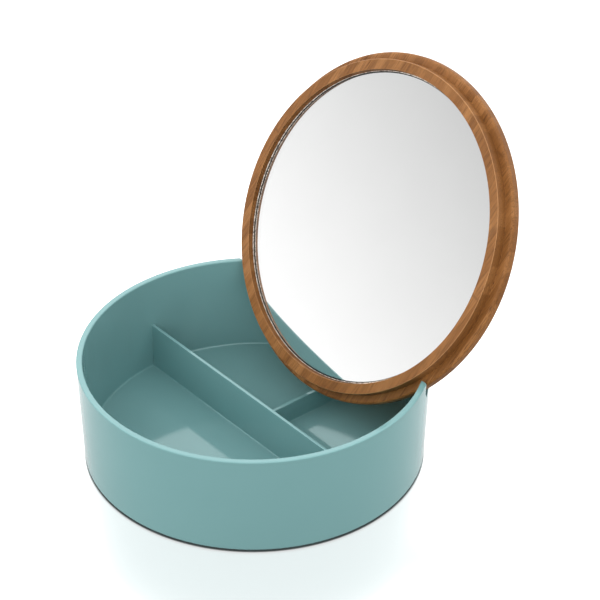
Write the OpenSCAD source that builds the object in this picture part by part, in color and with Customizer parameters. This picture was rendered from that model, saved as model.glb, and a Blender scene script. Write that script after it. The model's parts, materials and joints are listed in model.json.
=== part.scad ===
// Round vanity box with a lift-off mirror lid.
// The bowl is one plastic moulding with a T of dividers on its floor. The lid is one
// milled bamboo board with a plug that drops into the bowl's mouth and a round mirror
// let into the plug. In use the lid is lifted off, turned over and stood in two slots
// in the rim, where it leans back as a table mirror.
// Z is the bowl's axis, z = 0 is the table, and the mirror looks towards -Y.

/* [Bowl] */
// Outer diameter of the bowl at its rim
bowl_d = 180; // [160:1:210]
// Height of the wall from its lower edge to the rim
bowl_h = 55.8; // [46:0.2:75]
// Thickness of the wall
wall_t = 3.2; // [2.4:0.1:4]
// Thickness of the floor
floor_t = 3.2; // [1.8:0.1:3.6]
// Draft of the wall in degrees: the bowl narrows towards its foot
wall_draft = 2.3; // [1:0.1:4]
// Radius of the fillet between floor and wall
floor_fillet = 1; // [0.5:0.1:4]
// Rounding of the rim's two edges
rim_round = 0.7; // [0.2:0.1:1.1]
// Rounding of the wall's lower edge
foot_round = 0.8; // [0.2:0.1:1]
// Height of the ring that the bowl stands on
ring_h = 1; // [0.6:0.1:2]
// Width of the standing ring
ring_w = 3; // [2:0.1:5]
// Distance of the standing ring from the wall's lower edge
ring_inset = 2.5; // [1.5:0.1:6]

/* [Dividers] */
// Height of the main divider above the floor
main_h = 25.5; // [16:0.5:30]
// Thickness of the main divider along its top
main_t = 1.8; // [1.4:0.1:3]
// Height of the cross divider above the floor
cross_h = 11.5; // [7:0.5:14]
// Thickness of the cross divider along its top
cross_t = 2; // [1.4:0.1:3]
// Draft of each side of the dividers in degrees
rib_draft = 0.5; // [0.2:0.1:2]
// Radius of the fillet along the foot of the dividers
rib_fillet = 0.6; // [0.4:0.1:2]
// Rounding along the top of the dividers
rib_round = 0.4; // [0.2:0.05:0.6]
// Radius of the upright fillets where the dividers meet the wall
end_fillet = 1; // [0.5:0.5:6]

/* [Lid] */
// Clearance all round between the plug and the bowl's mouth
plug_gap = 0.5; // [0.4:0.1:1.2]
// Overhang of the flange past the rim, all round
flange_over = 0.9; // [0:0.1:2]
// Thickness of the flange that covers the rim
flange_t = 5.75; // [4:0.25:7]
// Rounding of the flange's two edges
flange_round = 1.6; // [0.8:0.1:1.9]
// Height of the plug below the flange
plug_h = 6.1; // [4.6:0.1:9]
// Rounding of the plug's edges
plug_round = 0.5; // [0.2:0.1:1]
// Width of the wooden frame around the mirror
frame_w = 5.4; // [3:0.1:10]

/* [Mirror] */
// Thickness of the glass
glass_t = 2; // [1.6:0.1:2.6]
// Depth of the glass's face below the frame
glass_sink = 2.6; // [0.6:0.1:3.2]
// Clearance all round between the glass and its recess
glass_gap = 0.4; // [0.2:0.1:0.8]
// Width of the ground edge around the glass's face
seam_w = 0.5; // [0.3:0.1:2]
// Depth of the ground edge
seam_h = 0.4; // [0.2:0.1:0.8]
// Thickness of the foam tape behind the glass
tape_t = 0.8; // [0.5:0.1:1.2]
// Width of each strip of tape
tape_w = 15; // [8:1:22]
// Distance between the middle lines of two strips
tape_pitch = 45; // [30:1:50]
// Number of strips of tape
tape_count = 3; // [1:1:3]
// Bare margin between the ends of the strips and the glass's edge
tape_margin = 8; // [4:1:16]

/* [Standing lid] */
// Lean of the standing lid from the upright in degrees
lid_lean = 29.3; // [24:0.1:36]
// Distance of the slots' back faces behind the bowl's axis, at the rim
slot_y = 60.3; // [56:0.1:64]
// Depth of the slots below the rim, at their lowest
slot_depth = 11.8; // [8:0.1:13]
// Clearance between the standing lid and its slots
seat_gap = 0.3; // [0.2:0.05:0.5]

/* [Hidden] */

// Smoothness of the revolved pieces and steps in each rounded corner
$fn = 180;
arc_steps = 6;
// Overshoot of a cutter past the surface that it opens
over = 1;

// Bowl
bowl_r = bowl_d / 2;
rim_z = ring_h + bowl_h;
floor_z = ring_h + floor_t;
mouth_r = bowl_r - wall_t;
foot_r = bowl_r - bowl_h * tan(wall_draft);
ring_r = foot_r - ring_inset;
ring_edge = ring_h / 3;

// Radii of the drafted wall's outside, inside and middle at a height
function outer_r(z) = bowl_r - (rim_z - z) * tan(wall_draft);
function inner_r(z) = outer_r(z) - wall_t;
function mid_r(z) = outer_r(z) - wall_t / 2;

// Lid, in its own frame: z = 0 is the outer face, the plug points up
lid_t = flange_t + plug_h;
flange_r = bowl_r + flange_over;
plug_r = mouth_r - plug_gap;
recess_r = plug_r - frame_w;
recess_z = lid_t - glass_sink - glass_t - tape_t;
tape_z = recess_z + tape_t;
glass_r = recess_r - glass_gap;

// Direction in which the standing lid slides up out of its slots
lift_y = sin(lid_lean);
lift_z = cos(lid_lean);

// Lowest corner of the flange's back edge over the lowest corner of the slots, whose
// floors are so steep that a gap square to them is twice as high
seat_z = rim_z - slot_depth + 2 * seat_gap;
back_y = slot_y - seat_gap / lift_z;
seat_y = back_y - (rim_z - seat_z) * tan(lid_lean);
seat_r = inner_r(seat_z);

// Where the back edge of the flange crosses the wall, its half chord and the height
// of the lid's middle above that crossing, measured along the lid
seat_x = sqrt(pow(seat_r, 2) - pow(seat_y, 2));
seat_rise = sqrt(pow(flange_r, 2) - pow(seat_x, 2));
lid_y = seat_y + seat_rise * lift_y;
lid_z = seat_z + seat_rise * lift_z;

// Where a circle around the lid's axis, of radius r and at height w over its outer
// face, crosses the inside of the wall: [y, z], from a quadratic in the drop along
// the lid from the circle's middle
function crossing(r, w) =
    let (
        mid_y = lid_y - w * lift_z,
        mid_z = lid_z + w * lift_y,
        a = 1 - pow(lift_y, 2),
        b = 2 * mid_y * lift_y,
        c = pow(seat_r, 2) - pow(r, 2) - pow(mid_y, 2),
        drop = (sqrt(pow(b, 2) - 4 * a * c) - b) / (2 * a)
    )
    [mid_y - drop * lift_y, mid_z - drop * lift_z];

// Front edge of the flange at the wall, as if sharp, and as rounded
edge_cut = flange_round * (1 - cos(45));
edge_at = crossing(flange_r, flange_t);
nose_at = crossing(flange_r - edge_cut, flange_t - edge_cut);

// Slots: an upright front face just ahead of the flange's front edge, a floor that
// follows the edge down and a back face with the lid's lean
slot_front_y = nose_at[0] - seat_gap;
slot_low_y = slot_y - slot_depth * tan(lid_lean);
slot_low_z = rim_z - slot_depth;
slot_slope = (edge_at[1] - seat_z) / (seat_y - edge_at[0]);
slot_front_z = slot_low_z + slot_slope * (slot_low_y - slot_front_y);
slot_top_y = slot_y + over * tan(lid_lean);

function arc(at, r, from, to) = [
    for (i = [0:arc_steps])
        let (a = from + (to - from) * i / arc_steps)
        at + r * [cos(a), sin(a)]
];

// Middle of a rounding that touches the outside or the inside of the drafted wall
function outside_mid(z, r) = [outer_r(z) - r / cos(wall_draft), z];
function inside_mid(z, r) = [inner_r(z) + r / cos(wall_draft), z];

module bowl_shell() {
    rotate_extrude()
        polygon(concat(
            [[0, ring_h], [ring_r - ring_w, ring_h], [ring_r - ring_w, ring_edge]],
            [[ring_r - ring_w + ring_edge, 0], [ring_r - ring_edge, 0]],
            [[ring_r, ring_edge], [ring_r, ring_h]],
            arc(outside_mid(ring_h + foot_round, foot_round), foot_round, -90, -wall_draft),
            arc(outside_mid(rim_z - rim_round, rim_round), rim_round, -wall_draft, 90),
            arc(inside_mid(rim_z - rim_round, rim_round), rim_round, 90, 180 - wall_draft),
            arc(inside_mid(floor_z + floor_fillet, -floor_fillet), floor_fillet, -wall_draft, -90),
            [[0, floor_z]]
        ));
}

// Space inside the middle of the wall, where the dividers end
module bowl_core() {
    low_z = ring_h + floor_t / 2;
    translate([0, 0, low_z])
        cylinder(h = rim_z - low_z, r1 = mid_r(low_z), r2 = mid_r(rim_z));
}

// Half of a divider's cross section, from its top down into the floor
function rib_half(h, t) = let (
        side = t / 2 - rib_round + rib_round / cos(rib_draft),
        foot = side + (h - rib_round - rib_fillet) * tan(rib_draft)
    ) concat(
        arc([t / 2 - rib_round, h - rib_round], rib_round, 90, rib_draft),
        arc([foot + rib_fillet / cos(rib_draft), rib_fillet], rib_fillet, 180 + rib_draft, 270),
        [[foot + rib_fillet / cos(rib_draft), -floor_t / 2]]
    );

// Divider of height h and top thickness t, along +Y from the axis to the wall
module rib(h, t) {
    half = rib_half(h, t);
    left = [for (i = [len(half) - 1:-1:0]) [-half[i][0], half[i][1]]];
    translate([0, bowl_r, floor_z])
        rotate([90, 0, 0])
            linear_extrude(bowl_r)
                polygon(concat(half, left));
}

// Upright fillets on both sides of a divider's end at the wall
module rib_end(h, t) {
    wall_r = inner_r(floor_z + h);
    mid_x = t / 2 + end_fillet;
    mid_y = sqrt(pow(wall_r - end_fillet, 2) - pow(mid_x, 2));
    for (side = [-1, 1])
        translate([0, 0, ring_h + floor_t / 2])
            linear_extrude(h + floor_t / 2 - rib_round)
                difference() {
                    translate([min(0, side * mid_x), mid_y])
                        square([mid_x, bowl_r - mid_y]);
                    translate([side * mid_x, mid_y])
                        circle(end_fillet);
                }
}

// The T: the main divider on the diameter and the low one behind it
module dividers() {
    intersection() {
        bowl_core();
        union() {
            for (turn = [-90, 90])
                rotate(turn) {
                    rib(main_h, main_t);
                    rib_end(main_h, main_t);
                }
            rib(cross_h, cross_t);
            rib_end(cross_h, cross_t);
        }
    }
}

// Both slots of the standing lid, cut in one pass across the bowl
module lid_slots() {
    translate([-bowl_r - over, 0, 0])
        rotate([90, 0, 90])
            linear_extrude(bowl_d + 2 * over)
                polygon([
                    [slot_front_y, rim_z + over],
                    [slot_front_y, slot_front_z],
                    [slot_low_y, slot_low_z],
                    [slot_top_y, rim_z + over]
                ]);
}

// Puts a piece that is drawn in the lid's own frame where the lid stands
module standing() {
    translate([0, lid_y, lid_z])
        rotate([90 - lid_lean, 0, 0])
            children();
}

module box_body() {
    color([0.49, 0.64, 0.64])
        difference() {
            union() {
                bowl_shell();
                dividers();
            }
            lid_slots();
        }
}

module lid_board() {
    color([0.6, 0.43, 0.29])
        standing()
            rotate_extrude()
                polygon(concat(
                    [[0, 0]],
                    arc([flange_r - flange_round, flange_round], flange_round, -90, 0),
                    arc([flange_r - flange_round, flange_t - flange_round], flange_round, 0, 90),
                    [[plug_r, flange_t]],
                    arc([plug_r - plug_round, lid_t - plug_round], plug_round, 0, 90),
                    [[recess_r, lid_t], [recess_r, recess_z], [0, recess_z]]
                ));
}

module mirror_glass() {
    color([0.9, 0.92, 0.93])
        standing()
            translate([0, 0, tape_z])
                rotate_extrude()
                    polygon([
                        [0, 0],
                        [glass_r, 0],
                        [glass_r, glass_t - seam_h],
                        [glass_r - seam_w, glass_t],
                        [0, glass_t]
                    ]);
}

// Parallel strips, each as long as its chord of the glass allows
module mirror_tape() {
    reach = glass_r - tape_margin;
    color([0.95, 0.95, 0.93])
        standing()
            for (i = [0:tape_count - 1]) {
                mid = (i - (tape_count - 1) / 2) * tape_pitch;
                half = sqrt(pow(reach, 2) - pow(abs(mid) + tape_w / 2, 2));
                translate([-half, mid - tape_w / 2, recess_z])
                    cube([2 * half, tape_w, tape_t]);
            }
}

box_body();
lid_board();
mirror_glass();
mirror_tape();
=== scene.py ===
import json
import math

import bmesh
import bpy
from mathutils import Matrix, Vector


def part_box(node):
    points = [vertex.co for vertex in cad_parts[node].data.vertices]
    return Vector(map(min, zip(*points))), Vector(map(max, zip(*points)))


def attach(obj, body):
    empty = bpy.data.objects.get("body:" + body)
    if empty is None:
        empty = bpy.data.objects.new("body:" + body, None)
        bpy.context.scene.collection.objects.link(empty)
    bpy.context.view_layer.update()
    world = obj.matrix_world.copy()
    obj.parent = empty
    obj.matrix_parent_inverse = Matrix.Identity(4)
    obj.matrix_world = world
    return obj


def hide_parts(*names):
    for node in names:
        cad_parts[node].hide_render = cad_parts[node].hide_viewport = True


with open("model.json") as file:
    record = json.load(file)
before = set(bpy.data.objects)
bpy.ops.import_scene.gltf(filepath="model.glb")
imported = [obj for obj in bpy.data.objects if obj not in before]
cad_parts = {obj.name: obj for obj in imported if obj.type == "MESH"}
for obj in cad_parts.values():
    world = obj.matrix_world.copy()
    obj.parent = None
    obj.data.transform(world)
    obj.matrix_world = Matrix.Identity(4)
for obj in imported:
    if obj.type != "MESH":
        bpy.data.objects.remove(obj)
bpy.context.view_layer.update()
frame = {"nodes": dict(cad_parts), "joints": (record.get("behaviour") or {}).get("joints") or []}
print("stage: frame loaded,", len(frame["nodes"]), "nodes")

mm = 0.001


# Shared tools

def hexColor(code):
    # The shaders take linear values, so the sRGB hex is turned to these
    channels = [int(code[i:i + 2], 16) / 255 for i in (1, 3, 5)]
    return [c / 12.92 if c <= 0.04045 else ((c + 0.055) / 1.055) ** 2.4 for c in channels] + [1.0]


def addNode(tree, kind, inputs=None, **settings):
    made = tree.nodes.new(kind)
    for name, value in settings.items():
        setattr(made, name, value)
    for socket, value in (inputs or {}).items():
        if isinstance(value, bpy.types.NodeSocket):
            tree.links.new(value, made.inputs[socket])
        else:
            made.inputs[socket].default_value = value
    return made


def newMaterial(name):
    material = bpy.data.materials.new(name)
    material.use_nodes = True
    tree = material.node_tree
    tree.nodes.clear()
    output = addNode(tree, "ShaderNodeOutputMaterial")
    return material, tree, output


def mottledMaterial(name, look, finish):
    # Two close tones of one material, mixed by a soft noise of the given spacing
    material, tree, output = newMaterial(name)
    place = addNode(tree, "ShaderNodeTexCoord").outputs["Object"]
    cloud = addNode(
        tree, "ShaderNodeTexNoise",
        {"Vector": place, "Scale": 1 / look["spacing"], "Detail": look["detail"]},
    )
    tone = addNode(
        tree, "ShaderNodeMix",
        {"Factor": cloud.outputs["Fac"], "A": hexColor(look["first"]), "B": hexColor(look["second"])},
        data_type="RGBA",
    )
    shader = addNode(tree, "ShaderNodeBsdfPrincipled", {"Base Color": tone.outputs["Result"], **finish})
    tree.links.new(shader.outputs["BSDF"], output.inputs["Surface"])
    return material


def newObject(name, mesh):
    piece = bpy.data.objects.new(name, mesh)
    bpy.context.scene.collection.objects.link(piece)
    return piece


def meshFrom(bm, name):
    mesh = bpy.data.meshes.new(name)
    bm.to_mesh(mesh)
    bm.free()
    return mesh


def smoothByAngle(mesh, degrees):
    # Smooth shading, with the edges over this angle kept sharp
    bm = bmesh.new()
    bm.from_mesh(mesh)
    for face in bm.faces:
        face.smooth = True
    for edge in bm.edges:
        edge.smooth = len(edge.link_faces) == 2 and edge.calc_face_angle(0) < math.radians(degrees)
    bm.to_mesh(mesh)
    bm.free()


def weightNormals(piece, weight):
    # Large faces keep their own direction beside small rounded ones
    weigh = piece.modifiers.new("weighted", "WEIGHTED_NORMAL")
    weigh.keep_sharp = True
    weigh.weight = weight


# Bowl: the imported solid's own surface, welded and shaded smooth for its gloss

bowl = {
    "light": "#739C9D",
    "deep": "#6E9798",
    "highlight": "#E1FFFF",       # the highlights keep some of the colour
    "cloud": 55.5556 * mm,        # spacing of the slow change from light to deep
    "roughnessLow": 0.064,
    "roughnessHigh": 0.096,
    "ior": 1.5,
    "peel": 2.2 * mm,             # spacing of the mould's faint orange peel
    "peelHeight": 0.002 * mm,
    "weld": 0.002 * mm,
    "flatDegrees": 0.2,           # faces closer in direction than this become one
    "sharpDegrees": 32,
    "normalWeight": 100,
}


def mouldedPlastic():
    # Gloss ABS, injection moulded in a polished tool: clear reflections over an even
    # pigment, with a waviness that is only seen where a highlight bends
    material, tree, output = newMaterial("glossMouldedAbs")
    place = addNode(tree, "ShaderNodeTexCoord").outputs["Object"]
    cloud = addNode(
        tree, "ShaderNodeTexNoise", {"Vector": place, "Scale": 1 / bowl["cloud"], "Detail": 2},
    )
    tint = addNode(
        tree, "ShaderNodeMix",
        {"Factor": cloud.outputs["Fac"], "A": hexColor(bowl["light"]), "B": hexColor(bowl["deep"])},
        data_type="RGBA",
    )
    peel = addNode(
        tree, "ShaderNodeTexNoise", {"Vector": place, "Scale": 1 / bowl["peel"], "Detail": 1},
    )
    bump = addNode(
        tree, "ShaderNodeBump",
        {"Height": peel.outputs["Fac"], "Distance": bowl["peelHeight"], "Strength": 1.0},
    )
    polish = addNode(
        tree, "ShaderNodeMapRange",
        {"Value": cloud.outputs["Fac"], "To Min": bowl["roughnessLow"], "To Max": bowl["roughnessHigh"]},
    )
    shader = addNode(
        tree, "ShaderNodeBsdfPrincipled",
        {
            "Base Color": tint.outputs["Result"], "Roughness": polish.outputs["Result"],
            "Normal": bump.outputs["Normal"], "IOR": bowl["ior"],
            "Specular Tint": hexColor(bowl["highlight"]),
        },
    )
    tree.links.new(shader.outputs["BSDF"], output.inputs["Surface"])
    return material


def makeBowl():
    cad = frame["nodes"]["box_body"]
    bm = bmesh.new()
    bm.from_mesh(cad.data)
    bmesh.ops.remove_doubles(bm, verts=bm.verts, dist=bowl["weld"])
    # Flat areas become one face each, so that they outweigh the fillets beside them
    flat = math.radians(bowl["flatDegrees"])
    bmesh.ops.dissolve_limit(bm, angle_limit=flat, verts=bm.verts, edges=bm.edges)
    mesh = meshFrom(bm, "bowl")
    smoothByAngle(mesh, bowl["sharpDegrees"])
    piece = newObject("bowl", mesh)
    weightNormals(piece, bowl["normalWeight"])
    mesh.materials.clear()
    mesh.materials.append(mouldedPlastic())
    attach(piece, "box")
    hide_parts("box_body")


# The lid's own frame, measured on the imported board: origin at the middle of its outer
# face, x to the right, y up along the board, z out of the mirror

def lidMatrix():
    lift = Vector(frame["joints"][0]["axis"]).normalized()
    right = Vector((1, 0, 0))
    out = right.cross(lift)
    points = [v.co for v in frame["nodes"]["lid_board"].data.vertices]
    along = [p.dot(lift) for p in points]
    across = [p.dot(right) for p in points]
    origin = (
        right * (min(across) + max(across)) / 2
        + lift * (min(along) + max(along)) / 2
        + out * min(p.dot(out) for p in points)
    )
    axes = Matrix((right, lift, out)).transposed().to_4x4()
    return Matrix.Translation(origin) @ axes


lidPlace = lidMatrix()
lidOut = (lidPlace.to_3x3() @ Vector((0, 0, 1))).normalized()


def revolve(profile, steps):
    # Spins (radius, height) points about the local z axis, then puts them on the lid
    bm = bmesh.new()
    chain = [bm.verts.new((r, 0, z)) for r, z in profile]
    edges = [bm.edges.new(pair) for pair in zip(chain, chain[1:])]
    bmesh.ops.spin(
        bm, geom=chain + edges, cent=(0, 0, 0), axis=(0, 0, 1), angle=math.tau,
        steps=steps, use_merge=True, use_duplicate=False,
    )
    bmesh.ops.remove_doubles(bm, verts=bm.verts, dist=0.001 * mm)
    bmesh.ops.recalc_face_normals(bm, faces=bm.faces)
    bmesh.ops.transform(bm, matrix=lidPlace, verts=bm.verts)
    return bm


def corner(middle, radius, start, end, steps):
    # Points of a rounded corner, from one angle to another, in degrees
    turns = [math.radians(start + (end - start) * i / steps) for i in range(steps + 1)]
    return [(middle[0] + radius * math.cos(a), middle[1] + radius * math.sin(a)) for a in turns]


# Lid board: flange, plug and mirror recess, turned from one bamboo board

board = {
    "plugRadius": 86.3 * mm,
    "recessRadius": 80.9 * mm,
    "flange": 5.75 * mm,
    "flangeRound": 1.6 * mm,
    "thickness": 11.85 * mm,
    "recessFloor": 6.45 * mm,
    "edgeBreak": 0.45 * mm,
    "lipRound": 0.25 * mm,        # edge of the recess
    "stepFillet": 0.1 * mm,       # left by the cutter between flange and plug
    "steps": 256,
    "cornerSteps": 7,
    "lipSteps": 4,
    "sharpDegrees": 32,
    "normalWeight": 50,
}

bamboo = {
    "pale": "#9E6C3C",
    "mid": "#8F5E2F",
    "dark": "#7E5024",
    # colour of the fibres, also used for the painted shade on the turned sides
    "fibreAndShade": "#3F2109",
    "highlightTint": "#D9A877",                # colour of the painted highlight on the plug's broken edges
    "grainTurn": math.radians(77),    # grain direction in the plane of the lid
    "strip": 5.0 * mm,                # width of one glued strip
    "stripShift": 3.0,                # most that a strip's pattern is slid along, in metres
    "darkest": 0.2,                   # where the scale of tones has its dark end
    "palest": 0.8,                    # and its pale end
    "drift": 45.4545 * mm,            # spacing of the slow change along a strip
    "fibreWidth": 0.36 * mm,          # drawn coarser than the real 0.2 mm, to show
    "fibreLength": 12 * mm,
    "fibreFrom": 0.46,                # noise level at which a dark fibre starts
    "fibreFull": 0.62,                # and at which it is at its darkest
    "fibreDark": 0.62,
    "ringGap": 300 * mm,              # from one growth ring of the cane to the next
    "ringFade": 1.2 * mm,             # a ring fades out this far to each side
    "ringDark": 0.5,
    "glueFade": 0.03,                 # glue line to each side, as a share of a strip
    "glueDark": 0.3,
    "relief": 0.05 * mm,              # depth of fibres, rings and glue lines
    "roughnessLow": 0.40,
    "roughnessHigh": 0.60,
    "ior": 1.5,
    "shine": 0.2,                     # open pores under a thin oil, no lacquer
    "sideShade": 0.14,                  # how much painted shade darkens the turned sides
    "sideFull": 0.2,                  # up to this share of facing out it is all side
    "sideNone": 0.5,                  # and from this share none
    "edgeHighlight": 0.40,                   # how strong the painted highlight on the plug's broken edges is
    "highlightFacing": 0.7,              # they face halfway between side and front
    "highlightSpread": 0.2,
    "highlightAbove": 2 * mm,            # and are this far or more over the flange
}


def carbonisedBamboo():
    # Side-pressed bamboo, steamed to caramel, milled and oiled: narrow strips that
    # differ a little in tone, with fine dark fibres and a growth ring here and there
    material, tree, output = newMaterial("carbonisedBamboo")
    place = addNode(tree, "ShaderNodeTexCoord").outputs["Object"]
    # Into the lid's own axes, then turned so that x runs along the grain
    lean = (lidPlace.to_euler().x, 0, 0)
    grain = (0, 0, bamboo["grainTurn"])
    level = addNode(
        tree, "ShaderNodeMapping", {"Vector": place, "Rotation": lean}, vector_type="TEXTURE",
    )
    turned = addNode(
        tree, "ShaderNodeMapping",
        {"Vector": level.outputs["Vector"], "Rotation": grain}, vector_type="TEXTURE",
    )
    axes = addNode(tree, "ShaderNodeSeparateXYZ", {"Vector": turned.outputs["Vector"]})
    along, across, height = axes.outputs["X"], axes.outputs["Y"], axes.outputs["Z"]

    # One number for each strip
    strips = addNode(tree, "ShaderNodeMath", {0: across, 1: 1 / bamboo["strip"]}, operation="MULTIPLY")
    index = addNode(tree, "ShaderNodeMath", {0: strips.outputs[0]}, operation="FLOOR")
    chance = addNode(tree, "ShaderNodeTexWhiteNoise", {"W": index.outputs[0]}, noise_dimensions="1D")

    # Fibres: noise drawn out along the grain, shifted from strip to strip
    shift = addNode(
        tree, "ShaderNodeMath",
        {0: chance.outputs["Value"], 1: bamboo["stripShift"]}, operation="MULTIPLY",
    )
    slid = addNode(tree, "ShaderNodeMath", {0: along, 1: shift.outputs[0]}, operation="ADD")
    stretched = addNode(tree, "ShaderNodeCombineXYZ")
    long, wide = bamboo["fibreLength"], bamboo["fibreWidth"]
    for axis, way, size in (("X", slid.outputs[0], long), ("Y", across, wide), ("Z", height, wide)):
        scaled = addNode(tree, "ShaderNodeMath", {0: way, 1: 1 / size}, operation="MULTIPLY")
        tree.links.new(scaled.outputs[0], stretched.inputs[axis])
    fibres = addNode(
        tree, "ShaderNodeTexNoise",
        {"Vector": stretched.outputs["Vector"], "Scale": 1.0, "Detail": 3, "Roughness": 0.6},
    )
    streaks = addNode(
        tree, "ShaderNodeMapRange",
        {
            "Value": fibres.outputs["Fac"],
            "From Min": bamboo["fibreFrom"], "From Max": bamboo["fibreFull"],
            "To Min": 0, "To Max": bamboo["fibreDark"],
        },
    )

    # Slow colour drift along each strip
    driftPlace = addNode(tree, "ShaderNodeCombineXYZ", {"X": slid.outputs[0], "Y": index.outputs[0]})
    drift = addNode(
        tree, "ShaderNodeTexNoise",
        {"Vector": driftPlace.outputs["Vector"], "Scale": 1 / bamboo["drift"], "Detail": 2},
    )
    both = addNode(
        tree, "ShaderNodeMath",
        {0: chance.outputs["Value"], 1: drift.outputs["Fac"]}, operation="ADD",
    )
    mean = addNode(tree, "ShaderNodeMath", {0: both.outputs[0], 1: 0.5}, operation="MULTIPLY")
    tone = addNode(tree, "ShaderNodeValToRGB", {"Fac": mean.outputs[0]})
    low, high = tone.color_ramp.elements
    low.position, low.color = bamboo["darkest"], hexColor(bamboo["dark"])
    high.position, high.color = bamboo["palest"], hexColor(bamboo["pale"])
    tone.color_ramp.elements.new(0.5).color = hexColor(bamboo["mid"])

    # Growth rings: a thin dark line across a strip, at its own place
    ringAt = addNode(
        tree, "ShaderNodeMath", {0: slid.outputs[0], 1: bamboo["ringGap"] / 2}, operation="PINGPONG",
    )
    ring = addNode(
        tree, "ShaderNodeMapRange",
        {
            "Value": ringAt.outputs[0], "From Min": 0, "From Max": bamboo["ringFade"],
            "To Min": bamboo["ringDark"], "To Max": 0,
        },
    )
    # Glue lines between strips
    edge = addNode(tree, "ShaderNodeMath", {0: strips.outputs[0], 1: 0.5}, operation="PINGPONG")
    glue = addNode(
        tree, "ShaderNodeMapRange",
        {
            "Value": edge.outputs[0], "From Min": 0, "From Max": bamboo["glueFade"],
            "To Min": bamboo["glueDark"], "To Max": 0,
        },
    )
    dark = streaks.outputs["Result"]
    for line in (ring, glue):
        joined = addNode(tree, "ShaderNodeMath", {0: dark, 1: line.outputs["Result"]}, operation="MAXIMUM")
        dark = joined.outputs[0]
    colour = addNode(
        tree, "ShaderNodeMix",
        {"Factor": dark, "A": tone.outputs["Color"], "B": hexColor(bamboo["fibreAndShade"])},
        data_type="RGBA",
    )

    # Painted shade darkens the turned sides against the faces, in the fibres' colour,
    # and a painted highlight pales the broken edges of the plug
    normal = addNode(tree, "ShaderNodeTexCoord").outputs["Normal"]
    facing = addNode(tree, "ShaderNodeVectorMath", {0: normal, 1: lidOut}, operation="DOT_PRODUCT")
    facing = addNode(tree, "ShaderNodeMath", {0: facing.outputs["Value"]}, operation="ABSOLUTE").outputs[0]
    # Painted shade on the turned sides, by how little they face out
    side = addNode(
        tree, "ShaderNodeMapRange",
        {
            "Value": facing, "From Min": bamboo["sideFull"], "From Max": bamboo["sideNone"],
            "To Min": bamboo["sideShade"], "To Max": 0,
        },
    )
    # Painted highlight on the broken edges of the plug
    edgeHighlight = addNode(
        tree, "ShaderNodeMath",
        {0: facing, 1: bamboo["highlightFacing"], 2: bamboo["highlightSpread"]}, operation="COMPARE",
    )
    plugFrom = lidOut.dot(lidPlace.translation) + board["flange"] + bamboo["highlightAbove"]
    onPlug = addNode(tree, "ShaderNodeMath", {0: height, 1: plugFrom}, operation="GREATER_THAN")
    for share in (onPlug.outputs[0], bamboo["edgeHighlight"]):
        edgeHighlight = addNode(tree, "ShaderNodeMath", {0: edgeHighlight.outputs[0], 1: share}, operation="MULTIPLY")
    for share, tint in ((side.outputs["Result"], "fibreAndShade"), (edgeHighlight.outputs[0], "highlightTint")):
        colour = addNode(
            tree, "ShaderNodeMix",
            {"Factor": share, "A": colour.outputs["Result"], "B": hexColor(bamboo[tint])},
            data_type="RGBA",
        )

    wear = addNode(
        tree, "ShaderNodeMapRange",
        {
            "Value": fibres.outputs["Fac"],
            "To Min": bamboo["roughnessLow"], "To Max": bamboo["roughnessHigh"],
        },
    )
    bump = addNode(
        tree, "ShaderNodeBump",
        {"Height": dark, "Distance": bamboo["relief"], "Strength": 0.6}, invert=True,
    )
    shader = addNode(
        tree, "ShaderNodeBsdfPrincipled",
        {
            "Base Color": colour.outputs["Result"], "Roughness": wear.outputs["Result"],
            "Normal": bump.outputs["Normal"], "IOR": bamboo["ior"],
            "Specular IOR Level": bamboo["shine"],
        },
    )
    tree.links.new(shader.outputs["BSDF"], output.inputs["Surface"])
    return material


def makeBoard():
    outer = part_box("lid_board")[1].x
    plug, recess = board["plugRadius"], board["recessRadius"]
    flange, thickness = board["flange"], board["thickness"]
    outerRound, edgeBreak, lipRound = board["flangeRound"], board["edgeBreak"], board["lipRound"]
    fillet, steps = board["stepFillet"], board["cornerSteps"]
    profile = [(0, 0), (outer / 2, 0)]
    profile += corner((outer - outerRound, outerRound), outerRound, -90, 0, steps)
    profile += corner((outer - outerRound, flange - outerRound), outerRound, 0, 90, steps)
    profile += [(plug + fillet, flange), (plug, flange + fillet)]
    profile += corner((plug - edgeBreak, thickness - edgeBreak), edgeBreak, 0, 90, steps)
    profile += corner((recess + lipRound, thickness - lipRound), lipRound, 90, 180, board["lipSteps"])
    profile += [(recess, board["recessFloor"]), (0, board["recessFloor"])]
    mesh = meshFrom(revolve(profile, board["steps"]), "lidBoard")
    smoothByAngle(mesh, board["sharpDegrees"])
    piece = newObject("lidBoard", mesh)
    mesh.materials.append(carbonisedBamboo())
    weightNormals(piece, board["normalWeight"])
    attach(piece, "lid")
    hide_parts("lid_board")


# Mirror: a pane silvered behind, with a dark grey ring at the back's rim and a ground edge

pane = {
    "back": 7.28 * mm,          # height of the silvered back over the board's outer face
    "thickness": 2.0 * mm,
    "radius": 80.5 * mm,
    "seam": 0.3 * mm,
    "margin": 0.9 * mm,         # dark grey ring on the back, where the silver stops short of the edge
    "steps": 256,
    "sharpDegrees": 15,
    "flat": 0.99,               # a face that looks out or in by this share is front or back
    "ior": 1.52,
    "clear": {"first": "#FFFFFF", "second": "#FCFDFC", "spacing": 166.667 * mm, "detail": 1},
    "silver": {"first": "#FBFBFB", "second": "#F8F8F8", "spacing": 25 * mm, "detail": 2},
    "darkRing": {"first": "#161413", "second": "#2E2A28", "spacing": 2 * mm, "detail": 2},
    "darkRingRoughness": 0.6,
    "grit": 1.11111 * mm,       # drawn coarser than the real marks of the wheel, to show
    "gritHeight": 0.03 * mm,
    "gritDark": "#7E736A",
    "gritPale": "#FFF6EA",
    "gritFrom": 0.38,           # noise level up to which the edge is dark
    "gritTo": 0.62,             # and from which it is pale
    "groundRoughness": 0.5,
    "groundPaintedGlow": 0.55,         # painted glow on the matt edge, for the light that the pane carries to it
}


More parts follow.
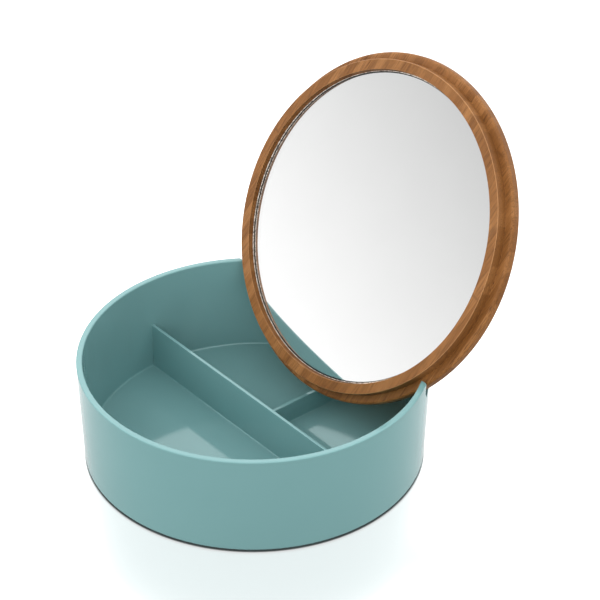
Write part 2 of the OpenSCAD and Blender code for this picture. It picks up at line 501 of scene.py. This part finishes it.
def floatGlass():
    # The clear front of the pane: polished float glass, only just green in its depth
    return mottledMaterial(
        "floatGlass", pane["clear"],
        {"Transmission Weight": 1.0, "Roughness": 0.0, "IOR": pane["ior"]},
    )


def silvering():
    # Silver laid on the back of the glass: the mirror proper, seen through the pane
    return mottledMaterial("silvering", pane["silver"], {"Metallic": 1.0, "Roughness": 0.0})


def backDarkRing():
    # A dark grey ring on the back, seen through the glass where the silver stops short
    return mottledMaterial("mirrorBackDarkRing", pane["darkRing"], {"Roughness": pane["darkRingRoughness"]})


def groundGlass():
    # The ground edge of the mirror: matt and chipped, seen as a pale line through the
    # glass on the side away from the eye, with a painted glow in its own tone
    material, tree, output = newMaterial("groundGlassEdge")
    place = addNode(tree, "ShaderNodeTexCoord").outputs["Object"]
    grit = addNode(
        tree, "ShaderNodeTexNoise", {"Vector": place, "Scale": 1 / pane["grit"], "Detail": 2},
    )
    chips = addNode(
        tree, "ShaderNodeMapRange",
        {"Value": grit.outputs["Fac"], "From Min": pane["gritFrom"], "From Max": pane["gritTo"]},
    )
    dark, pale = hexColor(pane["gritDark"]), hexColor(pane["gritPale"])
    tone = addNode(
        tree, "ShaderNodeMix",
        {"Factor": chips.outputs["Result"], "A": dark, "B": pale}, data_type="RGBA",
    )
    bump = addNode(
        tree, "ShaderNodeBump",
        {"Height": grit.outputs["Fac"], "Distance": pane["gritHeight"], "Strength": 0.5},
    )
    # The edge emits its own tone: painted glow
    shader = addNode(
        tree, "ShaderNodeBsdfPrincipled",
        {
            "Base Color": tone.outputs["Result"], "Roughness": pane["groundRoughness"],
            "Normal": bump.outputs["Normal"], "IOR": pane["ior"],
            "Emission Color": tone.outputs["Result"], "Emission Strength": pane["groundPaintedGlow"],
        },
    )
    tree.links.new(shader.outputs["BSDF"], output.inputs["Surface"])
    return material


def makePane():
    back, radius, seam = pane["back"], pane["radius"], pane["seam"]
    face = back + pane["thickness"]
    silverRadius = radius - pane["margin"]
    profile = [
        (0, back), (silverRadius, back), (radius, back),
        (radius, face - seam), (radius - seam, face), (0, face),
    ]
    mesh = meshFrom(revolve(profile, pane["steps"]), "mirrorGlass")
    smoothByAngle(mesh, pane["sharpDegrees"])
    piece = newObject("mirrorGlass", mesh)
    for material in (floatGlass(), silvering(), groundGlass(), backDarkRing()):
        mesh.materials.append(material)
    front, silver, ground, darkRing = range(4)
    toLid = lidPlace.inverted()
    for polygon in mesh.polygons:
        facing = polygon.normal.dot(lidOut)
        reach = (toLid @ polygon.center).to_2d().length
        if facing > pane["flat"]:
            polygon.material_index = front
        elif facing < -pane["flat"]:
            polygon.material_index = silver if reach < silverRadius else darkRing
        else:
            polygon.material_index = ground
    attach(piece, "lid")
    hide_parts("mirror_glass")


# Tape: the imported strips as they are, behind the mirror

tape = {
    "skin": "#F2F1EC",
    "cell": "#DAD8D0",
    "cellSize": 0.4 * mm,
    "cellDepth": 0.05 * mm,
    "roughness": 0.85,
}


def closedCellFoam():
    # White closed-cell foam tape: matt, with fine cells
    material, tree, output = newMaterial("closedCellFoam")
    place = addNode(tree, "ShaderNodeTexCoord").outputs["Object"]
    cells = addNode(tree, "ShaderNodeTexVoronoi", {"Vector": place, "Scale": 1 / tape["cellSize"]})
    depth = cells.outputs["Distance"]
    tone = addNode(
        tree, "ShaderNodeMix",
        {"Factor": depth, "A": hexColor(tape["skin"]), "B": hexColor(tape["cell"])},
        data_type="RGBA",
    )
    bump = addNode(
        tree, "ShaderNodeBump", {"Height": depth, "Distance": tape["cellDepth"], "Strength": 0.4},
    )
    shader = addNode(
        tree, "ShaderNodeBsdfPrincipled",
        {
            "Base Color": tone.outputs["Result"], "Roughness": tape["roughness"],
            "Normal": bump.outputs["Normal"],
        },
    )
    tree.links.new(shader.outputs["BSDF"], output.inputs["Surface"])
    return material


def coverTape():
    mesh = frame["nodes"]["mirror_tape"].data
    mesh.materials.clear()
    mesh.materials.append(closedCellFoam())


makeBowl()
print("stage: bowl")
makeBoard()
print("stage: lid board")
makePane()
print("stage: mirror")
coverTape()
print("stage: tape")


# Table, light and camera

studio = {
    "sky": 1.27,             # plain diffuse light from all of the sky
    # Soft lights: where each stands, the cosine at its rim and its strength
    "softLights": (
        (Vector((-0.923, -0.359, 0.139)), 0.70, 1.7),
        (Vector((0.151, 0.979, 0.139)), 0.70, 2.8),
        (Vector((0.69, -0.70, 0.17)), 0.70, 0.9),
        (Vector((-0.30, -0.80, 0.52)), 0.60, 0.5),
    ),
    "panelLow": 1.0,         # what glossy surfaces see at the horizon
    "panelHigh": 2.8,        # and in the raised white panels
    "panelStart": 0.30,
    "panelEnd": 0.50,
    "tableReach": 6,         # metres to each side
    "tableShow": 0.70,       # plain white of the table top, as the camera sees it
    "tableFront": 0.55,      # as glossy surfaces see it, in front of the bowl
    "tableBack": 1.15,       # and behind it, where the lamps stand
    "tableAway": Vector((-0.767, 0.642, 0)),
    "tableStart": -0.10,
    "tableEnd": 0.06,
    "tableShine": 0.42,
    "tableBlur": 0.22,
    "tableBounce": "#A8A8A6",
    "contact": 1.9 * mm,     # reach of the painted contact shadow where things stand on the table
    "contactDark": 0.60,     # openness at which the line is at its darkest
    "contactClear": 0.80,    # and at which it has gone
    "contactLeft": 0.05,     # light that is left in it
    "cardDistance": 3.0,
    "cardTowards": Vector((-0.63, -0.75, 0.20)).normalized(),
    "cardSize": 1.6,
    "cardLevel": 0.985,
    "cardSlope": Vector((-0.357, 0.048, -0.947)),
    "flagTop": (Vector((-0.7457, -0.6796, 0.2007)), Vector((-0.5771, -0.8212, 0.1925))),
    "flagFoot": 0.1,
    "flagCloth": "#2D2C2B",
    "cameraLens": 162.92,
    "cameraSensor": 36,
    "cameraClip": (0.05, 50),
    "cameraPlace": Vector((0.87568, -0.70299, 0.85164)),
    "cameraAim": Vector((-0.00476, 0.03433, 0.07282)),
    "cameraRoll": math.radians(0.194),
}

white = (1, 1, 1, 1)


def makeFloor():
    bm = bmesh.new()
    bmesh.ops.create_grid(bm, x_segments=1, y_segments=1, size=studio["tableReach"])
    floor = newObject("table", meshFrom(bm, "table"))
    material, tree, output = newMaterial("whiteTable")
    path = addNode(tree, "ShaderNodeLightPath").outputs
    # Painted contact shadow: dark where something stands close over the table
    openness = addNode(tree, "ShaderNodeAmbientOcclusion", {"Distance": studio["contact"]}, samples=16)
    near = addNode(
        tree, "ShaderNodeMapRange",
        {
            "Value": openness.outputs["AO"],
            "From Min": studio["contactDark"], "From Max": studio["contactClear"],
            "To Min": studio["contactLeft"],
        },
    ).outputs["Result"]
    # To the camera: plain white with a mirror image
    level = addNode(tree, "ShaderNodeMath", {0: near, 1: studio["tableShow"]}, operation="MULTIPLY")
    plain = addNode(tree, "ShaderNodeEmission", {"Color": white, "Strength": level.outputs[0]})
    shine = (studio["tableShine"],) * 3 + (1,)
    image = addNode(
        tree, "ShaderNodeBsdfAnisotropic", {"Color": shine, "Roughness": studio["tableBlur"]},
    )
    direct = addNode(
        tree, "ShaderNodeAddShader", {0: plain.outputs["Emission"], 1: image.outputs["BSDF"]},
    )
    # To glossy surfaces and through glass: plain white, brighter behind the bowl
    spot = addNode(tree, "ShaderNodeTexCoord").outputs["Object"]
    away = addNode(
        tree, "ShaderNodeVectorMath", {0: spot, 1: studio["tableAway"]}, operation="DOT_PRODUCT",
    )
    lit = addNode(
        tree, "ShaderNodeMapRange",
        {
            "Value": away.outputs["Value"],
            "From Min": studio["tableStart"], "From Max": studio["tableEnd"],
            "To Min": studio["tableFront"], "To Max": studio["tableBack"],
        },
    )
    level = addNode(tree, "ShaderNodeMath", {0: near, 1: lit.outputs["Result"]}, operation="MULTIPLY")
    reflected = addNode(tree, "ShaderNodeEmission", {"Color": white, "Strength": level.outputs[0]})
    shown = addNode(
        tree, "ShaderNodeMixShader",
        {0: path["Is Camera Ray"], 1: reflected.outputs["Emission"], 2: direct.outputs["Shader"]},
    )
    # To the light: a matt white table that sends it back up
    matt = addNode(tree, "ShaderNodeBsdfDiffuse", {"Color": hexColor(studio["tableBounce"])})
    seen = path["Is Camera Ray"]
    for ray in ("Is Glossy Ray", "Is Transmission Ray"):
        seen = addNode(tree, "ShaderNodeMath", {0: seen, 1: path[ray]}, operation="MAXIMUM").outputs[0]
    mix = addNode(
        tree, "ShaderNodeMixShader", {0: seen, 1: matt.outputs["BSDF"], 2: shown.outputs["Shader"]},
    )
    tree.links.new(mix.outputs["Shader"], output.inputs["Surface"])
    floor.data.materials.append(material)


def makeWorld():
    world = bpy.data.worlds.new("studio")
    bpy.context.scene.world = world
    world.use_nodes = True
    tree = world.node_tree
    tree.nodes.clear()
    output = addNode(tree, "ShaderNodeOutputWorld")
    direction = addNode(tree, "ShaderNodeTexCoord").outputs["Generated"]
    height = addNode(tree, "ShaderNodeSeparateXYZ", {"Vector": direction}).outputs["Z"]
    sky = studio["sky"]
    for towards, rim, power in studio["softLights"]:
        facing = addNode(
            tree, "ShaderNodeVectorMath", {0: direction, 1: towards}, operation="DOT_PRODUCT",
        )
        soft = addNode(
            tree, "ShaderNodeMapRange",
            {"Value": facing.outputs["Value"], "From Min": rim, "From Max": 1.0, "To Max": power},
            interpolation_type="SMOOTHSTEP",
        )
        total = addNode(tree, "ShaderNodeMath", {0: sky, 1: soft.outputs["Result"]}, operation="ADD")
        sky = total.outputs[0]
    panels = addNode(
        tree, "ShaderNodeMapRange",
        {
            "Value": height, "From Min": studio["panelStart"], "From Max": studio["panelEnd"],
            "To Min": studio["panelLow"], "To Max": studio["panelHigh"],
        },
    )
    path = addNode(tree, "ShaderNodeLightPath").outputs
    glossy = addNode(
        tree, "ShaderNodeMix",
        {"Factor": path["Is Glossy Ray"], "A": sky, "B": panels.outputs["Result"]},
    )
    # Plain white to the camera and through the glass
    plain = addNode(
        tree, "ShaderNodeMath",
        {0: path["Is Camera Ray"], 1: path["Is Transmission Ray"]}, operation="MAXIMUM",
    )
    strength = addNode(
        tree, "ShaderNodeMix",
        {"Factor": plain.outputs[0], "A": glossy.outputs["Result"], "B": 1.0},
    ).outputs["Result"]
    light = addNode(tree, "ShaderNodeBackground", {"Color": white, "Strength": strength})
    tree.links.new(light.outputs["Background"], output.inputs["Surface"])


def onlyReflected(piece):
    piece.visible_camera = False
    piece.visible_diffuse = False
    piece.visible_shadow = False
    piece.visible_volume_scatter = False


def makeCard():
    # A white card that pales towards one side: the soft grey run over the mirror
    towards = studio["cardTowards"]
    turn = towards.to_track_quat("Z", "Y").to_matrix().to_4x4()
    place = Matrix.Translation(towards * studio["cardDistance"]) @ turn
    bm = bmesh.new()
    bmesh.ops.create_grid(bm, x_segments=1, y_segments=1, size=studio["cardSize"] / 2, matrix=place)
    card = newObject("gradedCard", meshFrom(bm, "gradedCard"))
    material, tree, output = newMaterial("gradedCard")
    spot = addNode(tree, "ShaderNodeTexCoord").outputs["Object"]
    fall = addNode(tree, "ShaderNodeVectorMath", {0: spot, 1: studio["cardSlope"]}, operation="DOT_PRODUCT")
    level = addNode(
        tree, "ShaderNodeMath", {0: fall.outputs["Value"], 1: studio["cardLevel"]}, operation="ADD",
    )
    light = addNode(tree, "ShaderNodeEmission", {"Color": white, "Strength": level.outputs[0]})
    tree.links.new(light.outputs["Emission"], output.inputs["Surface"])
    card.data.materials.append(material)
    onlyReflected(card)


def makeFlag():
    # A black flag low at the left, 1 m off: a thin dark line in the foot of the mirror
    bm = bmesh.new()
    top = [bm.verts.new(point) for point in studio["flagTop"]]
    edge = bm.edges.new(top)
    low = bmesh.ops.extrude_edge_only(bm, edges=[edge])["geom"]
    for vert in [v for v in low if isinstance(v, bmesh.types.BMVert)]:
        vert.co.z = studio["flagFoot"]
    flag = newObject("blackFlag", meshFrom(bm, "blackFlag"))
    material, tree, output = newMaterial("blackFlag")
    cloth = addNode(tree, "ShaderNodeEmission", {"Color": hexColor(studio["flagCloth"]), "Strength": 1.0})
    tree.links.new(cloth.outputs["Emission"], output.inputs["Surface"])
    flag.data.materials.append(material)
    onlyReflected(flag)


def makeCamera():
    data = bpy.data.cameras.new("camera")
    camera = bpy.data.objects.new("camera", data)
    bpy.context.scene.collection.objects.link(camera)
    data.lens = studio["cameraLens"]
    data.sensor_width = studio["cameraSensor"]
    data.clip_start, data.clip_end = studio["cameraClip"]
    look = (studio["cameraAim"] - studio["cameraPlace"]).to_track_quat("-Z", "Y").to_matrix()
    turn = look @ Matrix.Rotation(studio["cameraRoll"], 3, "Z")
    camera.matrix_world = Matrix.Translation(studio["cameraPlace"]) @ turn.to_4x4()
    bpy.context.scene.camera = camera


makeFloor()
makeWorld()
makeCard()
makeFlag()
makeCamera()
bpy.context.scene.view_settings.view_transform = "Standard"
print("stage: studio")
